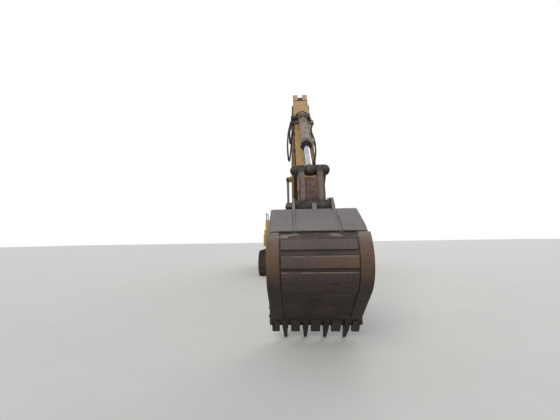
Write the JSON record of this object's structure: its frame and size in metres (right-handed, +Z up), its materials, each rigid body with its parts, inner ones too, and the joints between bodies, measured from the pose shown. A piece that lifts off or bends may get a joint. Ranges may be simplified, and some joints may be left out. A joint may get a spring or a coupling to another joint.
{
  "type": "crawler excavator",
  "caption": "Crawler excavator with a slewing house, hollow cab, boom, stick and a toothed digging bucket worked by hydraulic cylinders, on two tracks.",
  "frame": {"origin": "on the ground under the swing axis", "axes": "+Z up along the swing axis, the parked arm points along -Y, +X is the machine's left, the cab's side"},
  "size_m": [3.2, 12.0526, 5.3125],
  "materials": {
    "frame_paint": "worn",
    "track_steel": "rusty",
    "house_paint": "satin",
    "arm_paint": "satin",
    "barrel_paint": "worn",
    "rod_chrome": "polished",
    "pin_steel": "worn",
    "rusty_steel": "rusty",
    "engine_iron": "matte",
    "exhaust_steel": "rusty",
    "rail_paint": "satin",
    "window_glass": "clear",
    "cab_trim": "matte",
    "lamp_lens": "clear"
  },
  "bodies": {
    "undercarriage": {"car_body": "frame_paint", "track_frames": "frame_paint", "left_track": "track_steel", "right_track": "track_steel", "track_rollers": "track_steel", "idlers": "track_steel", "sprockets": "track_steel"},
    "house": {"revolving_frame": "house_paint", "foot_pins": "pin_steel", "counterweight": "house_paint", "engine_block": "engine_iron", "cooler_core": "engine_iron", "side_housings": "house_paint", "fuel_tank": "house_paint", "hydraulic_tank": "house_paint", "tool_box": "house_paint", "exhaust": "exhaust_steel", "handrails": "rail_paint", "cab_shell": "house_paint", "cab_glass": "window_glass", "cab_interior": "cab_trim", "seat_cushions": "cab_trim", "work_lamps": "lamp_lens"},
    "engine_hood": {"engine_hood": "house_paint"},
    "left_side_door": {"left_side_door": "house_paint"},
    "right_side_door": {"right_side_door": "house_paint"},
    "cab_door": {"cab_door": "house_paint", "cab_door_glass": "window_glass"},
    "boom": {"boom": "arm_paint", "boom_pins": "pin_steel"},
    "boom_cylinder_barrels": {"boom_cylinder_barrels": "barrel_paint"},
    "boom_cylinder_rods": {"boom_cylinder_rods": "rod_chrome"},
    "stick_cylinder_barrel": {"stick_cylinder_barrel": "barrel_paint"},
    "stick_cylinder_rod": {"stick_cylinder_rod": "rod_chrome"},
    "stick": {"stick": "arm_paint", "stick_pins": "pin_steel"},
    "bucket_cylinder_barrel": {"bucket_cylinder_barrel": "barrel_paint"},
    "bucket_cylinder_rod": {"bucket_cylinder_rod": "rod_chrome"},
    "idler_links": {"idler_links": "rusty_steel", "link_pin": "pin_steel"},
    "power_link": {"power_link": "rusty_steel"},
    "bucket": {"bucket_shell": "rusty_steel", "bucket_wear_plates": "rusty_steel", "bucket_teeth": "rusty_steel", "bucket_pins": "pin_steel"}
  },
  "joints": [
    {"name": "swing", "type": "hinge", "parent": "undercarriage", "child": "house", "pos_m": [0, 0, 0], "axis": [0, 0, 1], "continuous": true},
    {"name": "engine_hood", "type": "hinge", "parent": "house", "child": "engine_hood", "pos_m": [0, 1.221, 2.371], "axis": [1, 0, 0], "range_deg": [0, 70]},
    {"name": "left_side_door", "type": "hinge", "parent": "house", "child": "left_side_door", "pos_m": [1.49, 2.36, 1.9], "axis": [0, 0, 1], "range_deg": [0, 110]},
    {"name": "right_side_door", "type": "hinge", "parent": "house", "child": "right_side_door", "pos_m": [-1.49, 2.36, 1.9], "axis": [0, 0, -1], "range_deg": [0, 110]},
    {"name": "cab_door", "type": "hinge", "parent": "house", "child": "cab_door", "pos_m": [1.494, -0.33, 2.2], "axis": [0, 0, 1], "range_deg": [0, 160]},
    {"name": "boom", "type": "hinge", "parent": "house", "child": "boom", "pos_m": [0, -0.1, 2.1], "axis": [-1, 0, 0], "range_deg": [-70, 33]},
    {"name": "boom_cylinder_barrels", "type": "hinge", "parent": "house", "child": "boom_cylinder_barrels", "pos_m": [0, -0.58, 1.37], "axis": [-1, 0, 0], "range_deg": [-68.19, 32.41]},
    {"name": "boom_cylinder_rods", "type": "slide", "parent": "boom_cylinder_barrels", "child": "boom_cylinder_rods", "axis": [0, -0.5407, 0.8412], "range_m": [-0.9954, 0.4719]},
    {"name": "stick", "type": "hinge", "parent": "boom", "child": "stick", "pos_m": [0, -5.83095, 4.3313], "axis": [1, 0, 0], "range_deg": [-50, 65]},
    {"name": "stick_cylinder_barrel", "type": "hinge", "parent": "boom", "child": "stick_cylinder_barrel", "pos_m": [0, -2.50203, 4.6127], "axis": [-1, 0, 0], "range_deg": [-0.84, 0.94]},
    {"name": "stick_cylinder_rod", "type": "slide", "parent": "stick_cylinder_barrel", "child": "stick_cylinder_rod", "axis": [0, -0.9852, 0.1716], "range_m": [-0.6038, 0.7835]},
    {"name": "bucket", "type": "hinge", "parent": "stick", "child": "bucket", "pos_m": [0, -7.75676, 1.77566], "axis": [1, 0, 0], "range_deg": [-59, 114]},
    {"name": "bucket_cylinder_barrel", "type": "hinge", "parent": "stick", "child": "bucket_cylinder_barrel", "pos_m": [0, -6.53545, 4.1109], "axis": [-1, 0, 0], "range_deg": [-1.21, 0.87]},
    {"name": "bucket_cylinder_rod", "type": "slide", "parent": "bucket_cylinder_barrel", "child": "bucket_cylinder_rod", "axis": [0, -0.6515, -0.7587], "range_m": [-0.3, 0.575]},
    {"name": "idler_links", "type": "hinge", "parent": "stick", "child": "idler_links", "pos_m": [0, -7.51603, 2.09512], "axis": [1, 0, 0], "range_deg": [-34.13, 65.48]},
    {"name": "power_link", "type": "hinge", "parent": "bucket", "child": "power_link", "pos_m": [0, -8.18676, 1.85166], "axis": [-1, 0, 0], "range_deg": [-32.36, 62.06]}
  ],
  "couplings": [
    {"joint": "boom_cylinder_barrels", "follows": "boom", "ratio": 0.96699},
    {"joint": "boom_cylinder_rods", "follows": "boom", "m_per_rad": 0.81065},
    {"joint": "stick_cylinder_barrel", "follows": "stick", "ratio": 0.006836},
    {"joint": "stick_cylinder_rod", "follows": "stick", "m_per_rad": 0.68621},
    {"joint": "bucket_cylinder_barrel", "follows": "bucket", "ratio": -0.00625},
    {"joint": "bucket_cylinder_rod", "follows": "bucket", "m_per_rad": 0.28648},
    {"joint": "idler_links", "follows": "bucket", "ratio": 0.57},
    {"joint": "power_link", "follows": "bucket", "ratio": 0.54}
  ]
}
